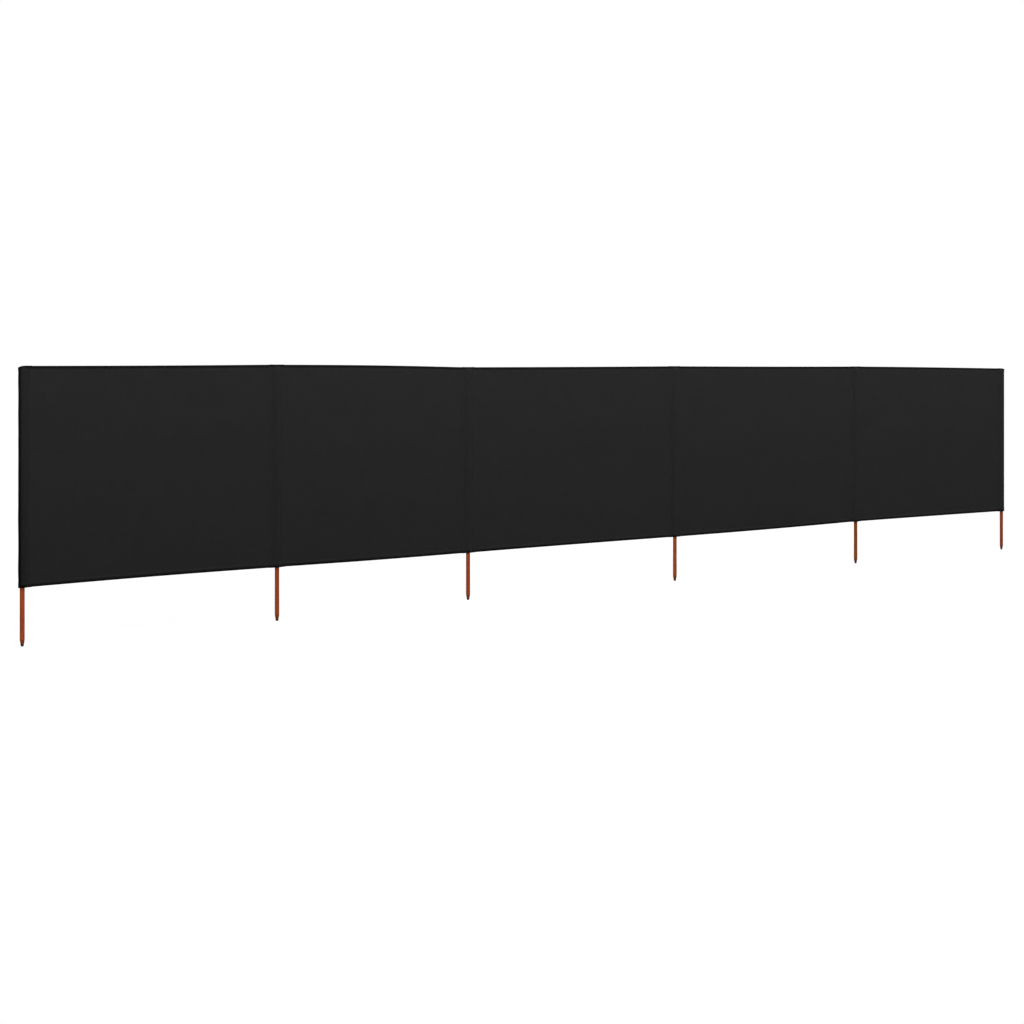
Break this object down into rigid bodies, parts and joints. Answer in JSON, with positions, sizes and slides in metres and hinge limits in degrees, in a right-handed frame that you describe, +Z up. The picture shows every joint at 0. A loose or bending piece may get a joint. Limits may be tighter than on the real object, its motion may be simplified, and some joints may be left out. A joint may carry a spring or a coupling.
{
  "type": "beach windbreak",
  "caption": "Long strip of dark cloth held upright in bays by pointed wooden poles in sewn pockets, pushed into sand as a wind and privacy screen.",
  "frame": {"origin": "centre of the blunt end of the first pole's point", "axes": "+X along the strip from the first pole towards the last, +Y towards the side on which the hems are turned over, +Z up the poles"},
  "size_m": [6.0373, 0.0926, 1.012],
  "materials": {
    "cloth": "matte woven polyester, near black",
    "wood": "stained reddish brown, satin"
  },
  "bodies": {
    "root": {"pole_1": "wood", "pole_2": "wood", "pole_3": "wood", "pole_4": "wood", "pole_5": "wood", "pole_6": "wood", "pocket_1": "cloth", "pocket_2": "cloth", "pocket_3": "cloth", "pocket_4": "cloth", "pocket_5": "cloth", "pocket_6": "cloth", "panel_1": "cloth", "panel_2": "cloth", "panel_3": "cloth", "panel_4": "cloth", "panel_5": "cloth", "top_hem_1": "cloth", "top_hem_2": "cloth", "top_hem_3": "cloth", "top_hem_4": "cloth", "top_hem_5": "cloth", "bottom_hem_1": "cloth", "bottom_hem_2": "cloth", "bottom_hem_3": "cloth", "bottom_hem_4": "cloth", "bottom_hem_5": "cloth"}
  },
  "joints": []
}
